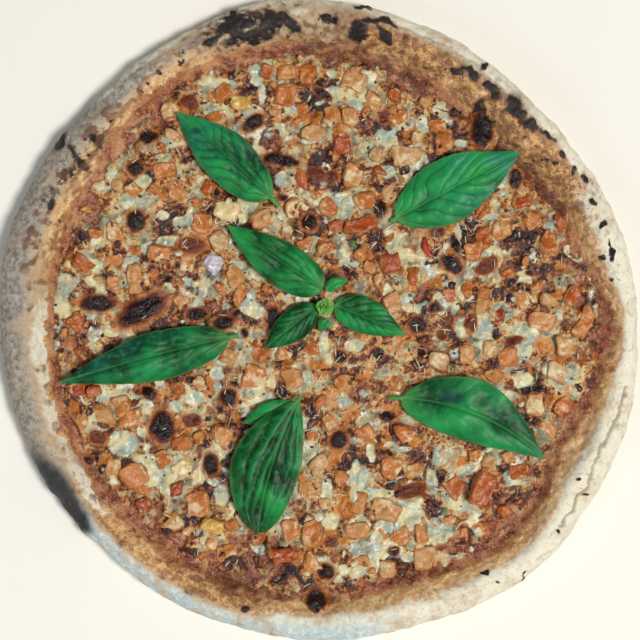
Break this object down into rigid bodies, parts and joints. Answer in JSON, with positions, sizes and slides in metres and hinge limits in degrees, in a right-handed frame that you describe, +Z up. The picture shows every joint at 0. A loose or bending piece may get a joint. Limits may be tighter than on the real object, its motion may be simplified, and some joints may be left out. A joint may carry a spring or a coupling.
{
  "type": "margherita pizza",
  "caption": "Round wood-fired margherita pizza with a puffed, charred rim, melted cheese, diced tomato and fresh basil leaves.",
  "frame": {"origin": "on the surface that the pizza rests on, below the middle of its outline", "axes": "+Z up through the dough, +Y towards the top of the pizza as seen from above, +X to its right"},
  "size_m": [0.2995, 0.3002, 0.0233],
  "materials": {
    "dough": "matte, floured, with browned and charred spots",
    "sauce": "moist",
    "cheese": "oily, white where thick and browned where thin",
    "browned_cheese": "glossy dark blisters",
    "tomato": "wet",
    "yellow_tomato": "wet",
    "garlic": "satin",
    "onion": "gloss",
    "basil": "satin, with lighter veins and margins",
    "basil_bud": "satin",
    "seasoning": "dry flakes"
  },
  "bodies": {
    "root": {"basil_bottom": "basil", "basil_bottom_lobe": "basil", "basil_bud_cluster": "basil_bud", "basil_bud_lower": "basil_bud", "basil_bud_upper": "basil_bud", "basil_left": "basil", "basil_lower_right": "basil", "basil_sprig_left": "basil", "basil_sprig_lower": "basil", "basil_sprig_right": "basil", "basil_upper_left": "basil", "basil_upper_right": "basil", "cheese": "cheese", "crust": "dough", "garlic_clove": "garlic", "garlic_slice": "garlic", "onion_bead": "onion", "tomato_die_01": "tomato", "tomato_die_02": "tomato", "tomato_die_03": "tomato", "tomato_die_04": "tomato", "tomato_die_05": "tomato", "tomato_die_06": "tomato", "tomato_die_07": "tomato", "tomato_die_08": "tomato", "tomato_die_09": "tomato", "tomato_die_10": "tomato", "tomato_die_11": "tomato", "tomato_die_12": "tomato", "tomato_die_13": "tomato", "tomato_die_14": "tomato", "tomato_die_15": "tomato", "tomato_die_16": "tomato", "tomato_die_17": "tomato", "tomato_die_18": "tomato", "tomato_die_19": "tomato", "tomato_die_20": "tomato", "tomato_die_21": "tomato", "tomato_die_22": "tomato", "tomato_die_23": "tomato", "tomato_die_24": "tomato", "tomato_die_25": "tomato", "tomato_die_26": "tomato", "tomato_die_27": "tomato", "tomato_die_28": "tomato", "tomato_die_29": "tomato", "tomato_die_30": "tomato", "tomato_die_31": "tomato", "tomato_die_32": "tomato", "tomato_die_33": "tomato", "tomato_die_34": "tomato", "tomato_die_35": "tomato", "tomato_die_36": "tomato", "tomato_round_1": "tomato", "tomato_round_2": "tomato", "tomato_round_3": "tomato", "tomato_round_4": "tomato", "tomato_sauce": "sauce", "yellow_tomato_die_1": "yellow_tomato", "yellow_tomato_die_2": "yellow_tomato"}
  },
  "joints": []
}
